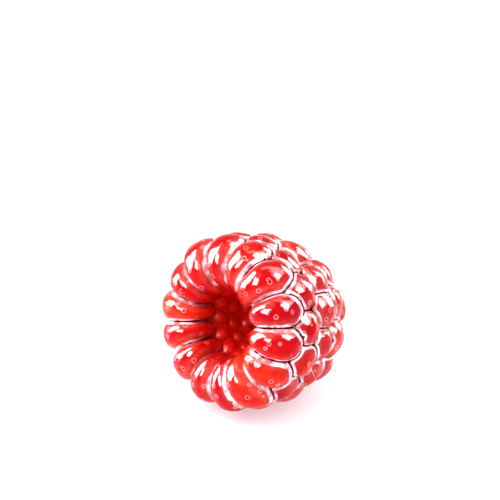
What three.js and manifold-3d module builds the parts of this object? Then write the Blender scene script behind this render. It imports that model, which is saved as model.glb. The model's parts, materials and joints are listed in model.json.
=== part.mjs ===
// A picked raspberry, lying on its side as it settles on a table: one fruit, a thick cup of plump
// drupelets grown together round the hollow that its core left when it was pulled off.
// Units are millimetres and +Z is up. The berry is modelled about its own axis, with +Z out of the
// hollow's mouth and the tip at the far end, and is then laid down with its mouth towards -Y.

import * as THREE from "three";
import { mergeVertices } from "three/addons/utils/BufferGeometryUtils.js";
import Module from "manifold-3d";

const wasm = await Module();
wasm.setup();

// The body is a half ellipsoid, wide at the mouth and round at the tip. Each drupelet runs through
// its whole wall, with a crown outside and a small end that shows in the hollow.
const BODY_CENTRE_Z = 1.0;
const CROWN_SURFACE = { radius: 8.75, depth: 11.0 }; // through the middles of the crowns
const HOLLOW_SURFACE = { radius: 5.0, depth: 6.4 }; // through the middles of the inner ends
const CROWN_HEIGHT = 2.05;
const INNER_END_RADIUS = 1.1;

// Rows of crowns from the shoulder to the tip. They close up by degrees on the ellipse.
const ROWS = 5;
const FIRST_LATITUDE = -3;
const LATITUDE_STEP = 18;
const LATITUDE_GROWTH = 0.6;
const ROW_TWIST = -2.75; // degrees from one row to the next, on top of the half step
const CROWN_PITCH = 3.8;
const CROWN_LAP = 0.59; // half width over pitch: above a half, neighbours press into each other
const CROWN_LENGTH = 2.3; // half length along the meridian

// The rim is a ring of plump drupelets that roll over from the outside into the hollow. Each is
// round in section, and as wide as its share of the ring at every radius.
const RIM_COUNT = 14;
const RIM_START = 5.5; // degrees
const RIM = { radius: 7.35, z: 4.15 };
const RIM_THICKNESS = 3.4; // from the ring's middle to its surface, seen in section
const RIM_LAP = 0.575;
const RIM_BLUNTNESS = 0.8; // 1 for an ellipsoid, less for blunter ends

// Natural unevenness.
const SEED = 2;
const PLACE_SPREAD = 0.22;
const SIZE_SPREAD = 0.06;

// The flesh that the drupelets grow from, which only shows at the bottom of the creases.
const FLESH = { outside: 8.45, inside: 4.5 };

// How the berry lies: its mouth tilts up, and it is rolled about its axis until three drupelets
// touch the table, pressed flat where they carry it.
const TILT_DEG = 16.57;
const ROLL_DEG = 25.88;
const PRESS = 0.2;

// Facets: enough for round crowns, few enough for a light solid.
const SIDES = 8;
const CROWN_RINGS = 3;
const RIM_SIDES = 12;
const RIM_RINGS = 8;
const FLESH_SIDES = 14;

const degrees = THREE.MathUtils.degToRad;

// A repeatable draw, even between -spread and +spread.
let drawState = SEED;
function draw(spread) {
  drawState = (drawState * 16807) % 2147483647;
  return spread * ((2 * drawState) / 2147483647 - 1);
}

// A point on a half ellipsoid about the axis, by azimuth round it and latitude below its rim.
function bodyPoint(surface, azimuth, latitude) {
  const out = surface.radius * Math.cos(latitude);
  return new THREE.Vector3(
    out * Math.cos(azimuth),
    out * Math.sin(azimuth),
    BODY_CENTRE_Z - surface.depth * Math.sin(latitude),
  );
}

// The ring of rim drupelets, by place and size.
function layRim() {
  const ring = [];
  for (let i = 0; i < RIM_COUNT; i++) {
    const azimuth = degrees(RIM_START) + ((i + draw(PLACE_SPREAD / 4)) / RIM_COUNT) * 2 * Math.PI;
    const size = 1 + draw(SIZE_SPREAD);
    ring.push({ azimuth, size });
  }
  return ring;
}

// Every drupelet of the body, as the middles of its two ends and its sizes.
function layBody() {
  const laid = [];
  let phase = degrees(RIM_START + ROW_TWIST) + Math.PI / RIM_COUNT;
  for (let row = 0; row < ROWS; row++) {
    const latitude = degrees(FIRST_LATITUDE + row * (LATITUDE_STEP + row * LATITUDE_GROWTH));
    const round = 2 * Math.PI * CROWN_SURFACE.radius * Math.cos(latitude);
    const count = Math.round(round / CROWN_PITCH);
    const pitch = round / count;
    for (let i = 0; i < count; i++) {
      const azimuth = phase + ((i + draw(PLACE_SPREAD) / pitch) / count) * 2 * Math.PI;
      const down = latitude + draw(PLACE_SPREAD) / CROWN_SURFACE.depth;
      const size = 1 + draw(SIZE_SPREAD);
      laid.push({
        crown: bodyPoint(CROWN_SURFACE, azimuth, down),
        end: bodyPoint(HOLLOW_SURFACE, azimuth, down),
        azimuth,
        halfWidth: CROWN_LAP * pitch * size,
        halfLength: CROWN_LENGTH * size,
        height: CROWN_HEIGHT * size,
      });
    }
    phase += Math.PI / count + degrees(ROW_TWIST);
  }
  return laid;
}

// A rim drupelet: turned about the ring's own line, then fanned out to its share of the ring.
function rimGeometry({ azimuth, size }) {
  const profile = [];
  for (let i = 0; i <= RIM_RINGS; i++) {
    const turn = (i / RIM_RINGS - 0.5) * Math.PI;
    const across = Math.sign(turn) * Math.abs(Math.sin(turn)) ** RIM_BLUNTNESS;
    profile.push(new THREE.Vector2(Math.cos(turn) ** RIM_BLUNTNESS, across));
  }
  profile[0].x = 0;
  profile[RIM_RINGS].x = 0;
  const geometry = new THREE.LatheGeometry(profile, RIM_SIDES);
  const position = geometry.attributes.position;
  const share = (RIM_LAP * 2 * Math.PI) / RIM_COUNT;
  for (let i = 0; i < position.count; i++) {
    const radius = RIM.radius + RIM_THICKNESS * size * position.getX(i);
    const turned = azimuth + share * size * position.getY(i);
    const z = RIM.z + RIM_THICKNESS * size * position.getZ(i);
    position.setXYZ(i, radius * Math.cos(turned), radius * Math.sin(turned), z);
  }
  return geometry;
}

// A drupelet about +Y: a crown on top, tapering to a small round end.
function drupeletGeometry({ crown, end, azimuth, halfWidth, halfLength, height }) {
  const length = crown.distanceTo(end);
  const taper = Math.asin((halfWidth - INNER_END_RADIUS) / length);
  const profile = [];
  for (const turn of [-Math.PI / 2, -(taper + Math.PI / 2) / 2, -taper])
    profile.push(
      new THREE.Vector2(
        INNER_END_RADIUS * Math.cos(turn),
        INNER_END_RADIUS * Math.sin(turn) - length,
      ),
    );
  for (let i = 0; i <= CROWN_RINGS; i++) {
    const turn = (i / CROWN_RINGS) * (Math.PI / 2 + taper) - taper;
    profile.push(new THREE.Vector2(halfWidth * Math.cos(turn), height * Math.sin(turn)));
  }
  profile[0].x = 0;
  profile[profile.length - 1].x = 0;
  const geometry = new THREE.LatheGeometry(profile, SIDES);
  geometry.scale(1, 1, halfLength / halfWidth);
  const up = crown.clone().sub(end).normalize();
  const across = new THREE.Vector3(-Math.sin(azimuth), Math.cos(azimuth), 0);
  const along = new THREE.Vector3().crossVectors(across, up);
  const place = new THREE.Matrix4().makeBasis(across, up, along).setPosition(crown);
  return geometry.applyMatrix4(place);
}

// The cup of flesh, as one closed profile turned about the axis.
function fleshGeometry() {
  const steps = 5;
  const outside = { radius: FLESH.outside, depth: CROWN_SURFACE.depth - 0.4 };
  const inside = { radius: FLESH.inside, depth: HOLLOW_SURFACE.depth - 0.4 };
  const along = (surface, latitude) =>
    new THREE.Vector2(
      surface.radius * Math.cos(latitude),
      BODY_CENTRE_Z - surface.depth * Math.sin(latitude),
    );
  const profile = [];
  for (let i = 0; i <= steps; i++)
    profile.push(along(outside, ((1 - i / steps) * Math.PI) / 2));
  profile.push(new THREE.Vector2(RIM.radius + 1, RIM.z + 1));
  profile.push(new THREE.Vector2(RIM.radius - 1, RIM.z + 1));
  for (let i = 0; i <= steps; i++)
    profile.push(along(inside, ((i / steps) * Math.PI) / 2));
  profile[0].x = 0;
  profile[profile.length - 1].x = 0;
  const geometry = new THREE.LatheGeometry(profile, FLESH_SIDES);
  return geometry.rotateX(Math.PI / 2);
}

function solidOf(geometry) {
  const plain = geometry.clone();
  plain.deleteAttribute("normal");
  plain.deleteAttribute("uv");
  const merged = mergeVertices(plain, 1e-4);
  return new wasm.Manifold(
    new wasm.Mesh({
      numProp: 3,
      vertProperties: merged.attributes.position.array,
      triVerts: new Uint32Array(merged.index.array),
    }),
  );
}

function geometryOf(solid) {
  const { vertProperties, triVerts } = solid.getMesh();
  const geometry = new THREE.BufferGeometry();
  geometry.setAttribute("position", new THREE.BufferAttribute(vertProperties, 3));
  geometry.setIndex(new THREE.BufferAttribute(triVerts, 1));
  geometry.computeVertexNormals();
  return geometry;
}

// The whole fruit about its own axis.
function growBerry() {
  const drupelets = [...layRim().map(rimGeometry), ...layBody().map(drupeletGeometry)];
  let berry = solidOf(fleshGeometry());
  for (const drupelet of drupelets) berry = berry.add(solidOf(drupelet));
  return berry;
}

// Laid on its side, with the drupelets that carry it pressed flat against the table.
function layDown(berry) {
  const turn = new THREE.Matrix4().makeRotationX(Math.PI / 2 - degrees(TILT_DEG));
  const roll = new THREE.Matrix4().makeRotationZ(degrees(ROLL_DEG));
  const loose = geometryOf(berry).applyMatrix4(turn.multiply(roll));
  loose.computeBoundingBox();
  const width = 4 * CROWN_SURFACE.depth;
  const table = new THREE.BoxGeometry(width, width, width);
  table.translate(0, 0, loose.boundingBox.min.z + PRESS - width / 2);
  return solidOf(loose).subtract(solidOf(table));
}

// The origin is on the table, under the middle of the fruit.
function centred(geometry) {
  geometry.computeBoundingBox();
  const { min, max } = geometry.boundingBox;
  return geometry.translate(-(min.x + max.x) / 2, -(min.y + max.y) / 2, -min.z);
}

const berry = layDown(growBerry());
const skin = new THREE.MeshStandardMaterial({ color: 0xd4141a, roughness: 0.3, metalness: 0 });
const raspberry = new THREE.Mesh(centred(geometryOf(berry)), skin);
raspberry.name = "raspberry";

const group = new THREE.Group();
group.add(raspberry);

export default group;
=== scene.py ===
"""A picked raspberry on a pale table: drupelets grown round a hollow, fused, laid down and lit."""

import json
import math

import bmesh
import bpy
import numpy as np
from bpy.props import FloatProperty, FloatVectorProperty, IntProperty, PointerProperty
from mathutils import Matrix, Vector, kdtree

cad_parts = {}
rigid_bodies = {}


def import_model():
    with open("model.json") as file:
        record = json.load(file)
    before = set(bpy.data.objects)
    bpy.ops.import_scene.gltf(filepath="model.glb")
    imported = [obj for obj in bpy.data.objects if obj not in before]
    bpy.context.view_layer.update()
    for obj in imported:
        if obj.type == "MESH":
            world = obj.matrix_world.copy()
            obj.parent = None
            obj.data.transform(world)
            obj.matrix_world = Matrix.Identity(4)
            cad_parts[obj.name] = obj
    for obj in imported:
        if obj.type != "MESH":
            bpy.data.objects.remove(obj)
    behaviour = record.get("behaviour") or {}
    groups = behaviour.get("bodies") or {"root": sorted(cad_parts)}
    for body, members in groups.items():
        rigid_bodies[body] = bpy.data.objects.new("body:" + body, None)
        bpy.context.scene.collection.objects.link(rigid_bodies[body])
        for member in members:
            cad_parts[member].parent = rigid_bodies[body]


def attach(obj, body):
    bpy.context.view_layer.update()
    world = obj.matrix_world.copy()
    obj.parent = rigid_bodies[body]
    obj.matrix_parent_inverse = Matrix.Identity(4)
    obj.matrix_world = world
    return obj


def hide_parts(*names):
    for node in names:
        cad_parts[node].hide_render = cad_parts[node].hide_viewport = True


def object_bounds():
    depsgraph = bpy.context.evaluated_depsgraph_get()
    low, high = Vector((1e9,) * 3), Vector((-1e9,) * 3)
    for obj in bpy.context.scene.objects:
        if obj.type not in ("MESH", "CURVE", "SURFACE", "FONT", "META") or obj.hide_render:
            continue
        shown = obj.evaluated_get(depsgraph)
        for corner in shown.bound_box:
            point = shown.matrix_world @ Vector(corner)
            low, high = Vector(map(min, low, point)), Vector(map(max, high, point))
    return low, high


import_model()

bl_info = {
    "name": "Picked raspberry",
    "version": (1, 0, 0),
    "blender": (4, 5, 0),
    "location": "3D View > Sidebar > Raspberry",
    "description": "Grows a picked raspberry from its drupelets, lays it on a table and lights it",
    "category": "Add Mesh",
}

CAD_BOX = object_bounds()
CAD_NODE = "raspberry"
FRUIT = "raspberry_fruit"
FLESH = "flesh_cup"
DRUPELETS = "drupelets"

MILLIMETRES = 1000  # in a metre
SENSOR_WIDTH = 36.0  # the camera's, in its own millimetres

# The repeatable draw: its two numbers, and how far the seeds of tones and styles lie from the shape's
DRAW_FACTOR = 16807
DRAW_RANGE = 2147483647
TONE_DRAW = 40
STYLE_DRAW = 90

# The cup of flesh, in metres
FLESH_SINK = 0.0004  # how much shallower it is than the drupelets' middles
FLESH_LIP = 0.001  # how far it reaches above the rim's middle line, and to both sides of it
CLOSED_END = 0.00006  # radius of the small faces that close it

# A crown's narrower root, in shares of the crown's own size
ROOT_WIDTH = 0.64
ROOT_HEIGHT = 0.3
ROOT_DROP = 1.3
ROOT_TAPER = 0.28

# Where the finishes lie on the skin; a pair is where a change starts and where it ends
CREASE_ANGLE = math.radians(28)  # an edge folded inwards by more than this is a crease
SMOOTH_ANGLE = math.radians(42)  # an edge folded by less than this is shaded smooth
HOLLOW_WIDE = (0.0066, 0.0044)  # metres out from the fruit's axis
HOLLOW_HIGH = (0.0058, 0.0018)  # metres up the fruit's axis from its own origin
HOLLOW_END = -0.0062  # no point lower on that axis counts as hollow
BARE_FROM = (1.12, 1.22)  # how far out of every drupelet the skin is bare flesh, painted dark as shade, 1 is on it
PALE_BAND_HEIGHTS = (0.0008, 0.0045)  # metres above the table between which the pale band, part white down and part painted highlight, comes in
TURNED_UP = (0.75, 0.97)  # cosines to the drupelet's top between which the painted sheen of the turned-down sides fades
RIM_BLOOM_AND_HIGHLIGHT = 1.15  # how wide the pale bands, part white down and part painted highlight, are on the rim
CROWN_BLOOM_AND_HIGHLIGHT = 0.7  # and on the crowns
MIDDLE_TONE = 0.42  # from 0, deep red, to 1, bright red
TONE_SPREAD = 0.25
RIM_BRIGHTER = 0.08


def length(name, description, default):
    """A size in metres."""
    return FloatProperty(
        name=name,
        description=description,
        default=default,
        unit="LENGTH",
        subtype="DISTANCE",
        precision=5,
    )


def angle(name, description, default):
    """An angle, stated in degrees."""
    return FloatProperty(
        name=name,
        description=description,
        default=math.radians(default),
        unit="ROTATION",
        subtype="ANGLE",
    )


def share(name, description, default):
    """A plain number, most often a share of something."""
    return FloatProperty(name=name, description=description, default=default, precision=4)


def colour(name, description, default):
    """A linear colour."""
    return FloatVectorProperty(
        name=name,
        description=description,
        default=default,
        size=3,
        min=0.0,
        max=1.0,
        subtype="COLOR",
    )


class RaspberryShape(bpy.types.PropertyGroup):
    """The sizes that the fruit grows from, about its own axis, with +Z out of the hollow's mouth."""

    body_centre: length("Body centre", "Height of the body's widest ring", 0.001)
    crown_radius: length("Crown radius", "Widest ring through the middles of the crowns", 0.00875)
    crown_depth: length("Crown depth", "From the widest ring to the middles of the tip's crowns", 0.011)
    crown_height: length("Crown height", "How far a crown stands out from its middle", 0.00205)
    crown_length: length("Crown length", "Half a crown's length along the fruit", 0.00245)
    crown_pitch: length("Crown pitch", "Wanted distance between the crowns of a row", 0.0038)
    crown_lap: share("Crown lap", "Half a crown's width over the pitch", 0.62)
    hollow_radius: length("Hollow radius", "Widest ring through the middles of the inner ends", 0.005)
    hollow_depth: length("Hollow depth", "From that ring to the hollow's deepest inner ends", 0.0064)
    inner_end: length("Inner end", "Radius of the small end that shows in the hollow", 0.0011)
    rows: IntProperty(name="Rows", description="Rows of crowns from shoulder to tip", default=5, min=1)
    first_latitude: angle("First latitude", "Latitude of the first row below the widest ring", -3.0)
    latitude_step: angle("Latitude step", "From the first row to the second", 18.0)
    latitude_growth: angle("Latitude growth", "What each further step adds", 0.6)
    row_twist: angle("Row twist", "Turn from row to row on top of the half step", -2.75)
    rim_count: IntProperty(name="Rim count", description="Drupelets round the mouth", default=14, min=3)
    rim_start: angle("Rim start", "Where the first rim drupelet stands", 5.5)
    rim_radius: length("Rim radius", "Radius of the rim ring's middle line", 0.00735)
    rim_height: length("Rim height", "Height of the rim ring's middle line", 0.00415)
    rim_thickness: length("Rim thickness", "From that line to the surface, in section", 0.0034)
    rim_lap: share("Rim lap", "Half a rim drupelet's width over its pitch", 0.575)
    rim_bluntness: share("Rim bluntness", "1 for an ellipsoid, less for blunter ends", 0.8)
    rim_spread: share("Rim unevenness", "Shift along the ring as a share of the pitch", 0.055)
    flesh_outside: length("Flesh outside", "Outer radius of the flesh under the crowns", 0.00845)
    flesh_inside: length("Flesh inside", "Inner radius of the flesh round the hollow", 0.00425)
    seed: IntProperty(name="Seed", description="Start of the repeatable draw", default=2, min=1)
    place_spread: length("Place unevenness", "How far a crown strays from its even place", 0.00022)
    size_spread: share("Size unevenness", "How far a drupelet's size strays from 1", 0.06)
    dent_depth: length("Dent depth", "Strength of the soft dents in the skin", 0.00024)
    dent_size: length("Dent size", "Width of the soft dents in the skin", 0.0020)
    tilt: angle("Tilt", "How far the mouth looks up when the fruit lies on its side", 16.57)
    roll: angle("Roll", "Turn about the axis to the three drupelets that carry the fruit", 25.88)
    origin: FloatVectorProperty(
        name="Origin",
        description="Where the fruit's own middle comes to lie over the table",
        default=(-0.0000746, -0.0013003, 0.0102874),
        size=3,
        unit="LENGTH",
        subtype="TRANSLATION",
        precision=6,
    )


class RaspberryFinish(bpy.types.PropertyGroup):
    """The colours and strengths of the skin, with its painted shade, highlight and sheen, and of the
    fine hairs.
    """

    ripe: colour("Ripe red", "The skin of most drupelets", (0.57, 0.004, 0.010))
    deep: colour("Deep red", "The ripest drupelets", (0.50, 0.001, 0.022))
    bright: colour("Bright red", "The least ripe drupelets", (0.72, 0.07, 0.02))
    # the pale band's colour: part white down, part painted highlight
    bloom_and_highlight: colour("Bloom", "The pale downy bloom beside the creases", (0.95, 0.84, 0.88))
    # a painted sheen that pales the turned-down sides
    painted_flank_sheen: colour("Flank", "The paler skin of a drupelet's turned-down sides", (0.74, 0.25, 0.19))
    # painted shade at the bottom of the creases and in the gaps between drupelets
    crease: colour("Crease", "The bottom of the creases", (0.16, 0.0005, 0.006))
    hollow: colour("Hollow", "The wet wall of the hollow", (0.78, 0.042, 0.012))
    # how strongly the painted sheen covers the turned-down sides
    painted_flank_sheen_share: share("Flank share", "How strongly the paler skin covers the sides", 0.8)
    # how much the pale band, part white down and part painted highlight, covers the skin
    bloom_and_highlight_share: share("Bloom share", "How much of the bloom covers the skin", 0.9)
    hair: colour("Hair", "The dry styles", (0.80, 0.60, 0.34))
    hair_length: length("Hair length", "Mean length of a style", 0.0014)
    hair_radius: length("Hair radius", "Radius of a style at its foot", 0.00005)
    hair_share: share("Hair share", "Share of the drupelets that kept their style", 0.3)


class RaspberryStage(bpy.types.PropertyGroup):
    """The table, the lights and the camera."""

    floor: colour("Floor", "The pale table", (0.53, 0.60, 0.63))
    floor_glow: share("Floor glow", "How much the table glows, so that it stays pale", 0.37)
    room_light: share("Room light", "Strength of the white room", 0.85)
    box_power: share("Softbox glow", "Strength of the softboxes and panels", 1.0)
    azimuth: angle("Azimuth", "The camera's turn round the fruit, from the front to the right", 45.5)
    elevation: angle("Elevation", "The camera's height over the table", 28.0)
    distance: length("Distance", "From the camera to the fruit", 0.24)
    frame_width: length("Frame width", "What the picture shows across at the fruit", 0.06098)
    across: share("Across", "Where the fruit's middle stands across the picture", 0.526)
    down: share("Down", "Where the fruit's middle stands down the picture", 0.624)


GROUPS = {
    "raspberry_shape": RaspberryShape,
    "raspberry_finish": RaspberryFinish,
    "raspberry_stage": RaspberryStage,
}


# The plan: where each drupelet grows


class Draw:
    """A repeatable draw, even between -spread and +spread."""

    def __init__(self, seed):
        self.state = seed

    def __call__(self, spread):
        self.state = self.state * DRAW_FACTOR % DRAW_RANGE
        return spread * (2 * self.state / DRAW_RANGE - 1)


def body_point(shape, radius, depth, azimuth, latitude):
    """A point on a half ellipsoid about the axis."""
    out = radius * math.cos(latitude)
    height = shape.body_centre - depth * math.sin(latitude)
    return Vector((out * math.cos(azimuth), out * math.sin(azimuth), height))


def plan_rim(shape, draw):
    """The rim drupelets, as (azimuth, size)."""
    ring = []
    for i in range(shape.rim_count):
        azimuth = shape.rim_start + (i + draw(shape.rim_spread)) / shape.rim_count * math.tau
        ring.append((azimuth, 1 + draw(shape.size_spread)))
    return ring


def plan_body(shape, draw):
    """The body drupelets, as the middles of their two ends and their sizes."""
    laid = []
    phase = shape.rim_start + shape.row_twist + math.pi / shape.rim_count
    for row in range(shape.rows):
        step = shape.latitude_step + row * shape.latitude_growth
        latitude = shape.first_latitude + row * step
        around = math.tau * shape.crown_radius * math.cos(latitude)
        count = math.floor(around / shape.crown_pitch + 0.5)
        pitch = around / count
        for i in range(count):
            azimuth = phase + (i + draw(shape.place_spread) / pitch) / count * math.tau
            down = latitude + draw(shape.place_spread) / shape.crown_depth
            size = 1 + draw(shape.size_spread)
            crown = body_point(shape, shape.crown_radius, shape.crown_depth, azimuth, down)
            end = body_point(shape, shape.hollow_radius, shape.hollow_depth, azimuth, down)
            across = Vector((-math.sin(azimuth), math.cos(azimuth), 0))
            up = (crown - end).normalized()
            laid.append(
                {
                    "crown": crown,
                    "end": end,
                    "across": across,
                    "up": up,
                    "along": up.cross(across),
                    "half_width": shape.crown_lap * pitch * size,
                    "half_length": shape.crown_length * size,
                    "height": shape.crown_height * size,
                }
            )
        phase += math.pi / count + shape.row_twist
    return laid


def plan(shape):
    """The whole fruit's plan, rim first, as the draw runs."""
    draw = Draw(shape.seed)
    return plan_rim(shape, draw), plan_body(shape, draw)


def lay_down(shape):
    """From the fruit's own axis to the table."""
    turn = Matrix.Rotation(math.pi / 2 - shape.tilt, 4, "X")
    roll = Matrix.Rotation(shape.roll, 4, "Z")
    return Matrix.Translation(Vector(shape.origin)) @ turn @ roll


# Small helps for modelling


def start_piece():
    """Nothing is selected, so that operators act on the new piece alone."""
    if bpy.context.object and bpy.context.object.mode != "OBJECT":
        bpy.ops.object.mode_set(mode="OBJECT")
    bpy.ops.object.select_all(action="DESELECT")


def name_piece(name):
    """Names the piece just added, and its mesh."""
    piece = bpy.context.object
    piece.name = piece.data.name = name
    return piece


def pick_points(piece, test):
    """Selects, in edit mode, the points of the piece that pass the test."""
    bpy.context.tool_settings.mesh_select_mode = (True, False, False)
    bpy.ops.mesh.select_all(action="DESELECT")
    mesh = bmesh.from_edit_mesh(piece.data)
    found = 0
    for point in mesh.verts:
        point.select = test(point)
        found += point.select
    mesh.select_flush_mode()
    bmesh.update_edit_mesh(piece.data)
    if not found:
        raise RuntimeError(f"no point of {piece.name} is where it should be")


def make_active(piece):
    """The piece alone is selected and active."""
    bpy.ops.object.select_all(action="DESELECT")
    piece.select_set(True)
    bpy.context.view_layer.objects.active = piece


def apply_modifier(piece, kind, **values):
    """Adds one modifier with its values and applies it."""
    make_active(piece)
    modifier = piece.modifiers.new(kind.lower(), kind)
    for key, value in values.items():
        setattr(modifier, key, value)
    bpy.ops.object.modifier_apply(modifier=modifier.name)


def drupelet_collection():
    """The collection that gathers the drupelets until they are fused."""
    found = bpy.data.collections.get(DRUPELETS)
    if found is None:
        found = bpy.data.collections.new(DRUPELETS)
        bpy.context.scene.collection.children.link(found)
    return found


def place_copy(model, place):
    """A copy of the model with its own mesh, set in place among the drupelets."""
    piece = model.copy()
    piece.data = model.data.copy()
    piece.data.transform(place)
    drupelet_collection().objects.link(piece)
    return piece


def axes(x, y, z, at):
    """The matrix with these columns."""
    turned = Matrix((x, y, z)).transposed().to_4x4()
    turned.translation = at
    return turned


# The pieces


class RASPBERRY_OT_grow_flesh(bpy.types.Operator):
    """Extrudes the thick cup of flesh from its tip, over the rim and down into the hollow"""

    bl_idname = "raspberry.grow_flesh"
    bl_label = "Grow the flesh"

    def profile(self, shape):
        """Rings of the cup as (radius, height), from the tip outside to the hollow's end."""
        steps = 18
        outside = (shape.flesh_outside, shape.crown_depth - FLESH_SINK)
        inside = (shape.flesh_inside, shape.hollow_depth - FLESH_SINK)
        rings = []
        for radius, depth, way in ((*outside, 1), (*inside, -1)):
            arc = []
            for i in range(steps + 1):
                latitude = (1 - i / steps) * math.pi / 2
                height = shape.body_centre - depth * math.sin(latitude)
                arc.append((max(CLOSED_END, radius * math.cos(latitude)), height))
            rings.append(arc[::way])
        top = shape.rim_height + FLESH_LIP
        lip = [(shape.rim_radius + way * FLESH_LIP, top) for way in (1, -1)]
        return rings[0] + lip + rings[1]

    def execute(self, context):
        rings = self.profile(context.scene.raspberry_shape)
        start_piece()
        bpy.ops.mesh.primitive_circle_add(
            vertices=72, radius=rings[0][0], fill_type="NGON", location=(0, 0, rings[0][1])
        )
        bpy.ops.object.transform_apply(location=True)
        cup = name_piece(FLESH)
        bpy.ops.object.mode_set(mode="EDIT")
        bpy.ops.mesh.select_all(action="SELECT")
        bpy.ops.mesh.select_mode(type="EDGE")
        bpy.ops.mesh.region_to_loop()
        for (before, low), (after, high) in zip(rings, rings[1:]):
            move = {"value": (0, 0, high - low)}
            bpy.ops.mesh.extrude_edges_move(TRANSFORM_OT_translate=move)
            bpy.ops.transform.resize(
                value=(after / before, after / before, 1), center_override=(0, 0, high)
            )
        bpy.ops.mesh.edge_face_add()
        bpy.ops.mesh.select_all(action="SELECT")
        bpy.ops.mesh.normals_make_consistent(inside=False)
        bpy.ops.object.mode_set(mode="OBJECT")
        return {"FINISHED"}


class RASPBERRY_OT_grow_rim(bpy.types.Operator):
    """Models one plump rim drupelet, blunts its ends, bends it to the ring and copies it round"""

    bl_idname = "raspberry.grow_rim"
    bl_label = "Grow the rim"
    rings = 36

    def blunt(self, model, shape, half):
        """Draws each ring of the egg outwards, from its ends inwards, so that the ends grow blunt."""
        for i in sorted(range(1, self.rings), key=lambda i: -abs(i - self.rings / 2)):
            turn = math.pi * i / self.rings
            at, round_at = math.cos(turn), math.sin(turn)
            pick_points(model, lambda p: abs(p.co.x - half * at) < half * 0.002)
            fuller = round_at ** (shape.rim_bluntness - 1)
            bpy.ops.transform.resize(value=(1, fuller, fuller), center_override=(0, 0, 0))
            moved = math.copysign(abs(at) ** shape.rim_bluntness, at) - at
            if abs(at) > 0.001:
                bpy.ops.transform.translate(value=(half * moved, 0, 0))

    def execute(self, context):
        shape = context.scene.raspberry_shape
        ring, _ = plan(shape)
        half_turn = shape.rim_lap * math.tau / shape.rim_count
        half = half_turn * shape.rim_radius
        start_piece()
        bpy.ops.mesh.primitive_uv_sphere_add(
            segments=56, ring_count=self.rings, radius=1, rotation=(0, math.pi / 2, 0)
        )
        bpy.ops.object.transform_apply(rotation=True)
        model = name_piece("rim_drupelet")
        bpy.ops.object.mode_set(mode="EDIT")
        thick = shape.rim_thickness
        bpy.ops.transform.resize(value=(half, thick, thick), center_override=(0, 0, 0))
        self.blunt(model, shape, half)
        bpy.ops.object.mode_set(mode="OBJECT")
        apply_modifier(
            model,
            "SIMPLE_DEFORM",
            deform_method="BEND",
            deform_axis="Z",
            angle=-2 * half_turn,
        )
        for azimuth, size in ring:
            out = Vector((math.cos(azimuth), math.sin(azimuth), 0))
            middle = out * shape.rim_radius + Vector((0, 0, shape.rim_height))
            side = out.cross(Vector((0, 0, 1)))
            place_copy(model, axes(side * size, out * size, (0, 0, size), middle))
        bpy.data.objects.remove(model)
        return {"FINISHED"}


class RASPBERRY_OT_grow_crowns(bpy.types.Operator):
    """Models one drupelet's crown with its narrowing root and copies it to every row of the body"""

    bl_idname = "raspberry.grow_crowns"
    bl_label = "Grow the crowns"

    def execute(self, context):
        _, body = plan(context.scene.raspberry_shape)
        start_piece()
        bpy.ops.mesh.primitive_uv_sphere_add(segments=40, ring_count=26, radius=1)
        model = name_piece("crown")
        bpy.ops.object.mode_set(mode="EDIT")
        pick_points(model, lambda p: p.co.z < -0.01)
        narrow = (ROOT_WIDTH, ROOT_WIDTH, ROOT_HEIGHT)
        bpy.ops.transform.resize(value=narrow, center_override=(0, 0, 0))
        bpy.ops.transform.translate(value=(0, 0, -ROOT_DROP))
        bpy.ops.object.mode_set(mode="OBJECT")
        # crowns that press on each other all round grow a little square, like cushions
        apply_modifier(
            model,
            "CAST",
            cast_type="CUBOID",
            factor=0.22,
            size=0.93,
            use_radius_as_size=False,
            use_z=False,
        )
        for one in body:
            x = one["across"] * one["half_width"]
            y = one["along"] * one["half_length"]
            z = one["up"] * one["height"]
            place_copy(model, axes(x, y, z, one["crown"]))
        bpy.data.objects.remove(model)
        return {"FINISHED"}


class RASPBERRY_OT_grow_inner_ends(bpy.types.Operator):
    """Models one drupelet's small inner end and copies it round the wall of the hollow"""

    bl_idname = "raspberry.grow_inner_ends"
    bl_label = "Grow the inner ends"

    def execute(self, context):
        shape = context.scene.raspberry_shape
        _, body = plan(shape)
        start_piece()
        bpy.ops.mesh.primitive_uv_sphere_add(segments=20, ring_count=12, radius=shape.inner_end)
        model = name_piece("inner_end")
        bpy.ops.object.mode_set(mode="EDIT")
        pick_points(model, lambda p: p.co.z < -0.0001)
        bpy.ops.transform.translate(value=(0, 0, -0.7 * shape.inner_end))
        bpy.ops.object.mode_set(mode="OBJECT")
        for one in body:
            place = axes(one["across"], -one["along"], -one["up"], one["end"])
            place_copy(model, place)
        bpy.data.objects.remove(model)
        return {"FINISHED"}


def drupelet_fit(shape, points):
    """How far each point lies out from every drupelet's middle, as a share of its size: 1 is on it."""
    ring, body = plan(shape)
    half_turn = shape.rim_lap * math.tau / shape.rim_count
    power = 2 / shape.rim_bluntness
    out = np.hypot(points[:, 0], points[:, 1])
    azimuths = np.arctan2(points[:, 1], points[:, 0])
    section = np.hypot(out - shape.rim_radius, points[:, 2] - shape.rim_height)
    fits = []
    for azimuth, size in ring:
        turned = (azimuths - azimuth + math.pi) % math.tau - math.pi
        across = np.abs(turned) / (half_turn * size)
        thick = section / (shape.rim_thickness * size)
        fits.append((across**power + thick**power) ** (1 / power))
    for one in body:
        away = points - np.array(one["crown"])
        x = away @ np.array(one["across"]) / one["half_width"]
        y = away @ np.array(one["along"]) / one["half_length"]
        z = away @ np.array(one["up"]) / one["height"]
        narrow = 1 + ROOT_TAPER * np.clip(z, -ROOT_DROP, 0)
        above = np.hypot(np.hypot(x, y) / narrow, np.maximum(z, 0))
        fits.append(np.maximum(above, -z / (ROOT_DROP + ROOT_HEIGHT)))
    return np.array(fits)


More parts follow.
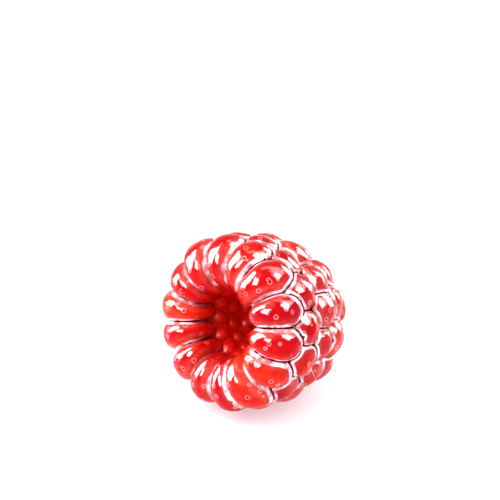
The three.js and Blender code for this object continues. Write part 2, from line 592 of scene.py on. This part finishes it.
def crease_distances(mesh, points):
    """How far each point lies from the nearest crease between two drupelets."""
    skin = bmesh.new()
    skin.from_mesh(mesh)
    marks = []
    for edge in skin.edges:
        if edge.is_manifold and edge.calc_face_angle_signed() < -CREASE_ANGLE:
            start, end = (point.co for point in edge.verts)
            marks += [start.lerp(end, part) for part in (0, 0.33, 0.67, 1)]
    creases = kdtree.KDTree(len(marks))
    for i, mark in enumerate(marks):
        creases.insert(mark, i)
    creases.balance()
    skin.free()
    return np.array([creases.find(point)[2] for point in points])


def store(mesh, name, values):
    """A number for each point, for the material to read."""
    attribute = mesh.attributes.new(name, "FLOAT", "POINT")
    attribute.data.foreach_set("value", values.astype(np.float32))


def unit(vectors):
    """The same directions with length 1."""
    return vectors / np.linalg.norm(vectors, axis=-1, keepdims=True)


def soft_step(values, low, high):
    """0 below the low value, 1 above the high one, and an even rise between them."""
    return np.clip((values - low) / (high - low), 0, 1)


def tops(shape, points, nearest, turn):
    """The way that the top of each point's drupelet faces, on the table."""
    _, body = plan(shape)
    out = np.hypot(points[:, 0], points[:, 1])[:, None]
    ring_line = points * (1, 1, 0) / np.maximum(out, 1e-6) * shape.rim_radius
    ring_line[:, 2] = shape.rim_height
    crowns = np.array([one["up"] for one in body])
    on_rim = nearest < shape.rim_count
    crown = crowns[np.where(on_rim, 0, nearest - shape.rim_count)]
    return np.where(on_rim[:, None], unit(points - ring_line), crown) @ turn.T


def mark_skin(fruit, shape):
    """Stores, for each point, how far a crease is and how strongly each finish, painted shade,
    highlight and sheen among them, lies on it.
    """
    count = len(fruit.data.vertices)
    laid = np.zeros(count * 3)
    fruit.data.vertices.foreach_get("co", laid)
    laid = laid.reshape(-1, 3)
    normals = np.zeros(count * 3, np.float32)
    fruit.data.vertex_normals.foreach_get("vector", normals)
    normals = normals.reshape(-1, 3)
    turn = np.array(lay_down(shape))[:3, :3]
    points = (laid - np.array(shape.origin)) @ turn
    fits = drupelet_fit(shape, points)
    nearest = fits.argmin(0)
    on_rim = nearest < shape.rim_count
    draw = Draw(shape.seed + TONE_DRAW)
    tones = np.array([draw(TONE_SPREAD) for _ in range(len(fits))])[nearest]
    store(fruit.data, "tone", MIDDLE_TONE + tones + RIM_BRIGHTER * on_rim)
    store(fruit.data, "crease", crease_distances(fruit.data, laid) * MILLIMETRES)
    out, high = np.hypot(points[:, 0], points[:, 1]), points[:, 2]
    edge, inner = HOLLOW_WIDE
    mouth, below = HOLLOW_HIGH
    inside = (high > HOLLOW_END) & (out < edge)
    inward = soft_step(-out, -edge, -inner) * soft_step(-high, -mouth, -below)
    store(fruit.data, "hollow", np.where(inside, inward, 0))
    # the bare flesh between the drupelets takes the painted crease shade
    store(fruit.data, "bare", soft_step(fits.min(0), *BARE_FROM))
    # a pale band, part white down and part painted highlight, lies beside every crease, wider on the
    # rim, and fades out towards the table
    store(fruit.data, "bloom_and_highlight_height", soft_step(laid[:, 2], *PALE_BAND_HEIGHTS))
    store(fruit.data, "spread", np.where(on_rim, RIM_BLOOM_AND_HIGHLIGHT, CROWN_BLOOM_AND_HIGHLIGHT))
    # the turned-down sides of each drupelet take a painted sheen
    top = (normals * tops(shape, points, nearest, turn)).sum(1)
    store(fruit.data, "painted_flank_sheen", 1 - soft_step(top, *TURNED_UP))


class RASPBERRY_OT_fuse(bpy.types.Operator):
    """Fuses flesh and drupelets to one skin, dents it softly, lays it down and presses its flats"""

    bl_idname = "raspberry.fuse"
    bl_label = "Fuse and lay down"

    def execute(self, context):
        shape = context.scene.raspberry_shape
        fruit = bpy.data.objects[FLESH]
        fruit.name = fruit.data.name = FRUIT
        apply_modifier(
            fruit,
            "BOOLEAN",
            operation="UNION",
            operand_type="COLLECTION",
            collection=drupelet_collection(),
            solver="MANIFOLD",
        )
        grown = drupelet_collection()
        for piece in list(grown.objects):
            bpy.data.objects.remove(piece)
        bpy.data.collections.remove(grown)
        dents = bpy.data.textures.new("soft_dents", "CLOUDS")
        dents.noise_scale = shape.dent_size
        dents.noise_depth = 1
        apply_modifier(
            fruit,
            "DISPLACE",
            texture=dents,
            texture_coords="LOCAL",
            strength=shape.dent_depth,
            mid_level=0.5,
        )
        fruit.data.transform(lay_down(shape))
        bpy.ops.object.mode_set(mode="EDIT")
        bpy.ops.mesh.select_all(action="SELECT")
        bpy.ops.mesh.bisect(
            plane_co=(0, 0, 0), plane_no=(0, 0, 1), use_fill=True, clear_inner=True, threshold=1e-8
        )
        # a point inside a straight edge would fold triangles over each other
        pick_points(fruit, lambda p: len(p.link_edges) == 2)
        bpy.ops.mesh.dissolve_verts()
        bpy.ops.mesh.select_all(action="SELECT")
        bpy.ops.mesh.quads_convert_to_tris(quad_method="BEAUTY", ngon_method="BEAUTY")
        bpy.ops.object.mode_set(mode="OBJECT")
        mark_skin(fruit, shape)
        bpy.ops.object.shade_smooth_by_angle(angle=SMOOTH_ANGLE)
        fruit.data.materials.clear()
        fruit.data.materials.append(skin_material(context.scene.raspberry_finish))
        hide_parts(CAD_NODE)
        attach(fruit, "root")
        return {"FINISHED"}


class RASPBERRY_OT_grow_styles(bpy.types.Operator):
    """Models one thin dry style, bends it, and sets copies on some of the crowns"""

    bl_idname = "raspberry.grow_styles"
    bl_label = "Grow the styles"

    def execute(self, context):
        scene = context.scene
        shape, finish = scene.raspberry_shape, scene.raspberry_finish
        _, body = plan(shape)
        start_piece()
        tall = finish.hair_length
        bpy.ops.mesh.primitive_cone_add(
            vertices=6,
            radius1=finish.hair_radius,
            radius2=finish.hair_radius * 0.35,
            depth=tall,
            location=(0, 0, tall / 2),
        )
        bpy.ops.object.transform_apply(location=True)
        model = name_piece("style")
        bpy.ops.object.mode_set(mode="EDIT")
        for part in (0.25, 0.5, 0.75):
            bpy.ops.mesh.select_all(action="SELECT")
            bpy.ops.mesh.bisect(plane_co=(0, 0, tall * part), plane_no=(0, 0, 1))
        bpy.ops.object.mode_set(mode="OBJECT")
        draw = Draw(shape.seed + STYLE_DRAW)
        laid = lay_down(shape)
        styles = bpy.data.collections.new("styles")
        scene.collection.children.link(styles)
        for one in body:
            kept = 0.5 + draw(0.5) < finish.hair_share
            lean = Vector((draw(1), draw(1), 0))
            size = 1 + draw(0.4)
            foot = one["crown"] + one["up"] * (one["height"] - 0.00012)
            if not kept or (laid @ foot).z < 0.004:
                continue
            style = model.copy()
            style.data = model.data.copy()
            styles.objects.link(style)
            bend_style(style.data, tall, lean * 0.5)
            x, y, z = (one[k] * size for k in ("across", "along", "up"))
            style.data.transform(laid @ axes(x, y, z, foot))
        bpy.data.objects.remove(model)
        bpy.ops.object.select_all(action="DESELECT")
        for style in styles.objects:
            style.select_set(True)
        bpy.context.view_layer.objects.active = styles.objects[0]
        bpy.ops.object.join()
        hairs = name_piece("styles")
        bpy.ops.object.shade_smooth()
        hairs.data.materials.append(style_material(finish))
        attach(hairs, "root")
        return {"FINISHED"}


def bend_style(mesh, tall, lean):
    """Leans a style over more and more towards its tip."""
    for point in mesh.vertices:
        share_up = point.co.z / tall
        point.co += lean * (share_up**2 * tall)
        point.co.z -= lean.length_squared * share_up**2 * tall * 0.4


# The finishes


def shader(name):
    """A new material with its nodes, its links and its plain shader."""
    material = bpy.data.materials.new(name)
    material.use_nodes = True
    tree = material.node_tree
    return material, tree, tree.nodes["Principled BSDF"]


def node(tree, kind, at, **values):
    """Adds a node, sets its own values and its inputs' values."""
    made = tree.nodes.new(kind)
    made.location = at
    for key, value in values.items():
        if hasattr(made, key):
            setattr(made, key, value)
        else:
            made.inputs[key.replace("_", " ")].default_value = value
    return made


def ramp(tree, at, stops, factor):
    """A colour ramp through these (place, colour) stops."""
    made = tree.nodes.new("ShaderNodeValToRGB")
    made.location = at
    made.color_ramp.interpolation = "EASE"
    while len(made.color_ramp.elements) < len(stops):
        made.color_ramp.elements.new(0.5)
    for element, (place, tint) in zip(made.color_ramp.elements, stops):
        element.position = place
        element.color = (*tint, 1) if hasattr(tint, "__len__") else (tint, tint, tint, 1)
    tree.links.new(factor, made.inputs["Fac"])
    return made.outputs["Color"]


def mix(tree, at, factor, first, second):
    """Mixes two colours, each a socket or a plain colour."""
    made = tree.nodes.new("ShaderNodeMix")
    made.data_type = "RGBA"
    made.location = at
    for socket, value in ((0, factor), (6, first), (7, second)):
        if isinstance(value, bpy.types.NodeSocket):
            tree.links.new(value, made.inputs[socket])
        elif hasattr(value, "__len__"):
            made.inputs[socket].default_value = (*value, 1)
        else:
            made.inputs[socket].default_value = value
    return made.outputs[2]


def shaded(tree, at, tint, shade):
    """A colour, darkened by a shade."""
    dark = mix(tree, at, 1.0, tint, shade)
    dark.node.blend_type = "MULTIPLY"
    return dark


def times(tree, at, first, second, operation="MULTIPLY"):
    """First times second, or another plain operation."""
    made = tree.nodes.new("ShaderNodeMath")
    made.operation = operation
    made.location = at
    for socket, value in ((0, first), (1, second)):
        if isinstance(value, bpy.types.NodeSocket):
            tree.links.new(value, made.inputs[socket])
        else:
            made.inputs[socket].default_value = value
    return made.outputs[0]


def mottle_group():
    """The natural unevenness that skin, styles and table share: a mask and a fine height."""
    group = bpy.data.node_groups.get("natural_mottle")
    if group:
        return group
    group = bpy.data.node_groups.new("natural_mottle", "ShaderNodeTree")
    for name, value in (("Patch Size", 1200.0), ("Grain Size", 5000.0)):
        socket = group.interface.new_socket(name, in_out="INPUT", socket_type="NodeSocketFloat")
        socket.default_value = value
    for name in ("Patches", "Grain"):
        group.interface.new_socket(name, in_out="OUTPUT", socket_type="NodeSocketFloat")
    start = node(group, "NodeGroupInput", (-600, 0))
    end = node(group, "NodeGroupOutput", (400, 0))
    place = node(group, "ShaderNodeTexCoord", (-600, 200))
    for size, output, rough, y in (
        ("Patch Size", "Patches", 0.55, 200),
        ("Grain Size", "Grain", 0.7, -100),
    ):
        noise = node(group, "ShaderNodeTexNoise", (-200, y), Detail=3.0, Roughness=rough)
        group.links.new(place.outputs["Object"], noise.inputs["Vector"])
        group.links.new(start.outputs[size], noise.inputs["Scale"])
        group.links.new(noise.outputs["Fac"], end.inputs[output])
    return group


def mottle(tree, at, patch, grain):
    """Places the shared unevenness in a material, with its own sizes."""
    made = tree.nodes.new("ShaderNodeGroup")
    made.node_tree = mottle_group()
    made.location = at
    made.inputs["Patch Size"].default_value = patch
    made.inputs["Grain Size"].default_value = grain
    return made.outputs["Patches"], made.outputs["Grain"]


def attribute(tree, at, name):
    """Reads one of the fruit's own numbers."""
    made = tree.nodes.new("ShaderNodeAttribute")
    made.attribute_name = name
    made.location = at
    return made.outputs["Fac"]


def speckled(tree, red, finish, outside):
    """Small pale rings with a dark middle, on some of the cells of a loose pattern."""
    cells = node(tree, "ShaderNodeTexVoronoi", (-1500, 900), Scale=800.0)
    place = node(tree, "ShaderNodeTexCoord", (-1700, 900))
    tree.links.new(place.outputs["Object"], cells.inputs["Vector"])
    chosen = ramp(tree, (-1300, 1000), [(0.28, 0.0), (0.34, 1.0)], cells.outputs["Color"])
    chosen = times(tree, (-1100, 1000), chosen, outside)
    rings = [(0.14, 0.0), (0.18, 1.0), (0.23, 1.0), (0.28, 0.0)]
    ring = ramp(tree, (-1300, 800), rings, cells.outputs["Distance"])
    dot = ramp(tree, (-1300, 700), [(0.06, 1.0), (0.11, 0.0)], cells.outputs["Distance"])
    ring = times(tree, (-1000, 800), times(tree, (-1100, 800), ring, chosen), 0.38)
    dot = times(tree, (-1000, 700), times(tree, (-1100, 700), dot, chosen), 0.6)
    red = mix(tree, (-800, 700), ring, red, finish.bloom_and_highlight)
    return mix(tree, (-700, 700), dot, red, finish.crease)


def skin_material(finish):
    """Glossy red skin, with a tone for each drupelet, painted shade in and near the creases, a pale
    band beside them that is part white down and part painted highlight, a painted sheen on the
    turned-down sides, and a wet hollow.
    """
    material, tree, skin = shader("raspberry_skin")
    patches, grain = mottle(tree, (-1700, 500), 700.0, 4200.0)
    tone = attribute(tree, (-1700, 200), "tone")
    crease = attribute(tree, (-1700, 0), "crease")
    hollow = attribute(tree, (-1700, -200), "hollow")
    bare = attribute(tree, (-1700, -400), "bare")
    bloom_and_highlight_height = attribute(tree, (-1700, -600), "bloom_and_highlight_height")
    shifted = times(tree, (-1500, 500), times(tree, (-1600, 500), patches, 0.5, "SUBTRACT"), 0.5)
    stops = [(0.15, finish.deep), (0.5, finish.ripe), (0.85, finish.bright)]
    red = ramp(tree, (-1100, 400), stops, times(tree, (-1300, 300), shifted, tone, "ADD"))
    # painted shade darkens the skin near a crease, and just beside it lies a pale band of uneven width,
    # part white down and part painted highlight
    wide = times(tree, (-1400, 0), shifted, 0.6, "ADD")
    uneven = times(tree, (-1300, 0), crease, wide)
    reach = times(tree, (-1200, 0), uneven, attribute(tree, (-1700, -900), "spread"), "DIVIDE")
    sides = ramp(tree, (-1100, 600), [(0.4, 0.84), (0.9, 1.0)], uneven)
    red = shaded(tree, (-800, 500), red, sides)
    near = [(0.0, 0.0), (0.05, 0.0), (0.07, 1.0), (0.38, 1.0), (0.44, 0.0)]
    band = ramp(tree, (-1100, 100), near, reach)
    kept = ramp(tree, (-1100, 800), [(0.36, 0.3), (0.58, 1.0)], patches)
    band = times(tree, (-1000, 0), times(tree, (-1050, 0), band, bloom_and_highlight_height), kept)
    bloom_and_highlight_mask = times(tree, (-900, 0), band, finish.bloom_and_highlight_share)
    outside = times(tree, (-900, -200), 1.0, hollow, "SUBTRACT")
    bloom_and_highlight_mask = times(tree, (-800, -100), bloom_and_highlight_mask, outside)
    # the pale band's lilac edges are painted shade
    lilac = tuple(part * tint for part, tint in zip(finish.bloom_and_highlight, (0.88, 0.66, 0.84)))
    tints = [(0.08, lilac), (0.16, finish.bloom_and_highlight), (0.32, finish.bloom_and_highlight), (0.44, lilac)]
    pale = ramp(tree, (-900, 250), tints, reach)
    # painted sheen: the turned-down sides are paler
    painted_flank_sheen = times(tree, (-900, -700), attribute(tree, (-1700, -1000), "painted_flank_sheen"), outside)
    paler = times(tree, (-800, -700), painted_flank_sheen, patches)
    paler = times(tree, (-700, -700), paler, finish.painted_flank_sheen_share)
    red = mix(tree, (-500, 400), paler, red, finish.painted_flank_sheen)
    red = speckled(tree, red, finish, outside)
    with_bloom_and_highlight = mix(tree, (-600, 300), bloom_and_highlight_mask, red, pale)
    # painted shade: the crease bottoms and the bare flesh between drupelets are dark
    foot = ramp(tree, (-1100, -300), [(0.09, 1.0), (0.19, 0.0)], crease)
    crease_shade_mask = times(tree, (-800, -300), foot, bare, "MAXIMUM")
    creased = mix(tree, (-400, 200), times(tree, (-600, -300), crease_shade_mask, 0.9), with_bloom_and_highlight, finish.crease)
    walled = mix(tree, (-200, 200), times(tree, (-600, -500), hollow, 0.85), creased, finish.hollow)
    tree.links.new(walled, skin.inputs["Base Color"])
    dull = times(tree, (-600, -100), bloom_and_highlight_mask, hollow, "MAXIMUM")
    rough = ramp(tree, (-400, -100), [(0.0, 0.09), (1.0, 0.5)], dull)
    tree.links.new(rough, skin.inputs["Roughness"])
    bump = node(tree, "ShaderNodeBump", (-200, -300), Strength=0.12, Distance=0.00008)
    tree.links.new(grain, bump.inputs["Height"])
    tree.links.new(bump.outputs["Normal"], skin.inputs["Normal"])
    skin.inputs["Subsurface Weight"].default_value = 0.15
    skin.inputs["Subsurface Radius"].default_value = (1.0, 0.12, 0.08)
    skin.inputs["Subsurface Scale"].default_value = 0.0008
    skin.inputs["IOR"].default_value = 1.42
    skin.inputs["Sheen Weight"].default_value = 0.1
    skin.inputs["Sheen Roughness"].default_value = 0.25
    skin.inputs["Sheen Tint"].default_value = (1.0, 0.88, 0.92, 1.0)
    return material


def style_material(finish):
    """Dry, straw-coloured styles, browner in patches."""
    material, tree, straw = shader("dry_style")
    patches, grain = mottle(tree, (-700, 100), 2500.0, 9000.0)
    brown = tuple(part * 0.55 for part in finish.hair)
    tint = ramp(tree, (-400, 100), [(0.3, brown), (0.6, tuple(finish.hair))], patches)
    tree.links.new(tint, straw.inputs["Base Color"])
    rough = ramp(tree, (-400, -200), [(0.3, 0.4), (0.7, 0.65)], grain)
    tree.links.new(rough, straw.inputs["Roughness"])
    return material


def floor_material(stage):
    """Smooth pale table, which glows a little."""
    material, tree, table = shader("pale_table")
    patches, grain = mottle(tree, (-700, 100), 6.0, 400.0)
    light = tuple(stage.floor)
    shade = tuple(part * 0.985 for part in light)
    tint = ramp(tree, (-400, 100), [(0.3, shade), (0.7, light)], patches)
    tree.links.new(tint, table.inputs["Base Color"])
    rough = ramp(tree, (-400, -200), [(0.3, 0.45), (0.7, 0.55)], grain)
    tree.links.new(rough, table.inputs["Roughness"])
    table.inputs["Specular IOR Level"].default_value = 0.25
    table.inputs["Emission Color"].default_value = (1.0, 0.98, 1.0, 1.0)
    table.inputs["Emission Strength"].default_value = stage.floor_glow
    return material


# The stage


def out_from(turn, rise):
    """The way from the fruit to this side and height, both in radians."""
    level = math.cos(rise)
    return Vector((math.sin(turn) * level, -math.cos(turn) * level, math.sin(rise)))


def view_axes(stage):
    """The camera's right, up and back."""
    back = out_from(stage.azimuth, stage.elevation)
    right = Vector((math.cos(stage.azimuth), math.sin(stage.azimuth), 0))
    return right, back.cross(right), back


def softbox(name, middle, turn, rise, size, glow, away=0.24):
    """An area light of this glow that looks at the fruit from this side and height, in degrees."""
    back = out_from(math.radians(turn), math.radians(rise))
    start_piece()
    bpy.ops.object.light_add(type="AREA", location=middle + back * away)
    lamp = bpy.context.object
    lamp.name = lamp.data.name = name
    lamp.rotation_mode = "QUATERNION"
    lamp.rotation_quaternion = back.to_track_quat("Z", "Y")
    lamp.data.shape = "RECTANGLE"
    lamp.data.size, lamp.data.size_y = size
    lamp.data.energy = glow * math.pi * size[0] * size[1]
    lamp.visible_camera = False
    return lamp


class RASPBERRY_OT_set_stage(bpy.types.Operator):
    """Sets out the pale table, the soft lights and the camera"""

    bl_idname = "raspberry.set_stage"
    bl_label = "Set the stage"

    def set_table(self, stage):
        start_piece()
        bpy.ops.mesh.primitive_plane_add(size=4.0, location=(0, 0, 0))
        table = name_piece("table")
        table.data.materials.append(floor_material(stage))

    def set_room(self, scene, stage):
        room = bpy.data.worlds.new("white_room")
        room.use_nodes = True
        light = room.node_tree.nodes["Background"]
        light.inputs["Color"].default_value = (1.0, 1.0, 1.0, 1.0)
        light.inputs["Strength"].default_value = stage.room_light
        scene.world = room

    def set_lights(self, stage, middle):
        """Two softboxes and four panels that only the gloss shows, and a soft key that lights all."""
        side, power = stage.azimuth, stage.box_power
        for name, turn, rise, size, glow in (
            ("key_box", -46, 33, (0.13, 0.11), 30),
            ("right_box", 72, 47, (0.11, 0.15), 30),
            ("left_panel", -100, 24, (0.15, 0.28), 26),
            ("back_panel", 98, 50, (0.10, 0.20), 9),
            ("edge_panel", 128, 14, (0.10, 0.20), 12),
            ("top_panel", 170, 75, (0.12, 0.08), 6),
        ):
            box = softbox(name, middle, math.degrees(side) + turn, rise, size, glow * power)
            box.visible_diffuse = False
        softbox("soft_key", middle, math.degrees(side) - 60, 55, (0.30, 0.30), 2.2, 0.4)

    def set_camera(self, scene, stage, middle):
        right, up, back = view_axes(stage)
        aim = middle - right * (stage.across - 0.5) * stage.frame_width
        aim += up * (stage.down - 0.5) * stage.frame_width
        start_piece()
        bpy.ops.object.camera_add(location=aim + back * stage.distance)
        camera = bpy.context.object
        camera.name = "camera"
        camera.rotation_mode = "QUATERNION"
        camera.rotation_quaternion = back.to_track_quat("Z", "Y")
        camera.data.sensor_width = SENSOR_WIDTH
        camera.data.lens = SENSOR_WIDTH * stage.distance / stage.frame_width
        camera.data.clip_start = 0.01
        scene.camera = camera

    def execute(self, context):
        scene = context.scene
        stage = scene.raspberry_stage
        low, high = CAD_BOX
        middle = (Vector(low) + Vector(high)) / 2
        self.set_table(stage)
        self.set_room(scene, stage)
        self.set_lights(stage, middle)
        self.set_camera(scene, stage, middle)
        scene.view_settings.view_transform = "Standard"
        scene.view_settings.look = "High Contrast"
        scene.view_settings.gamma = 0.8
        return {"FINISHED"}


STEPS = (
    RASPBERRY_OT_grow_flesh,
    RASPBERRY_OT_grow_rim,
    RASPBERRY_OT_grow_crowns,
    RASPBERRY_OT_grow_inner_ends,
    RASPBERRY_OT_fuse,
    RASPBERRY_OT_grow_styles,
    RASPBERRY_OT_set_stage,
)


class RASPBERRY_PT_panel(bpy.types.Panel):
    """Lists the steps in order, and the sizes and colours they use"""

    bl_idname = "RASPBERRY_PT_panel"
    bl_label = "Raspberry"
    bl_space_type = "VIEW_3D"
    bl_region_type = "UI"
    bl_category = "Raspberry"

    def draw(self, context):
        for step in STEPS:
            self.layout.operator(step.bl_idname)
        for key, group in GROUPS.items():
            box = self.layout.box()
            for name in group.__annotations__:
                box.prop(getattr(context.scene, key), name)


def register():
    for group in GROUPS.values():
        bpy.utils.register_class(group)
    for key, group in GROUPS.items():
        setattr(bpy.types.Scene, key, PointerProperty(type=group))
    for step in STEPS:
        bpy.utils.register_class(step)
    bpy.utils.register_class(RASPBERRY_PT_panel)


def unregister():
    bpy.utils.unregister_class(RASPBERRY_PT_panel)
    for step in reversed(STEPS):
        bpy.utils.unregister_class(step)
    for key in GROUPS:
        delattr(bpy.types.Scene, key)
    for group in reversed(GROUPS.values()):
        bpy.utils.unregister_class(group)


def main():
    register()
    for step in STEPS:
        family, name = step.bl_idname.split(".")
        getattr(getattr(bpy.ops, family), name)()


if __name__ == "__main__":
    main()
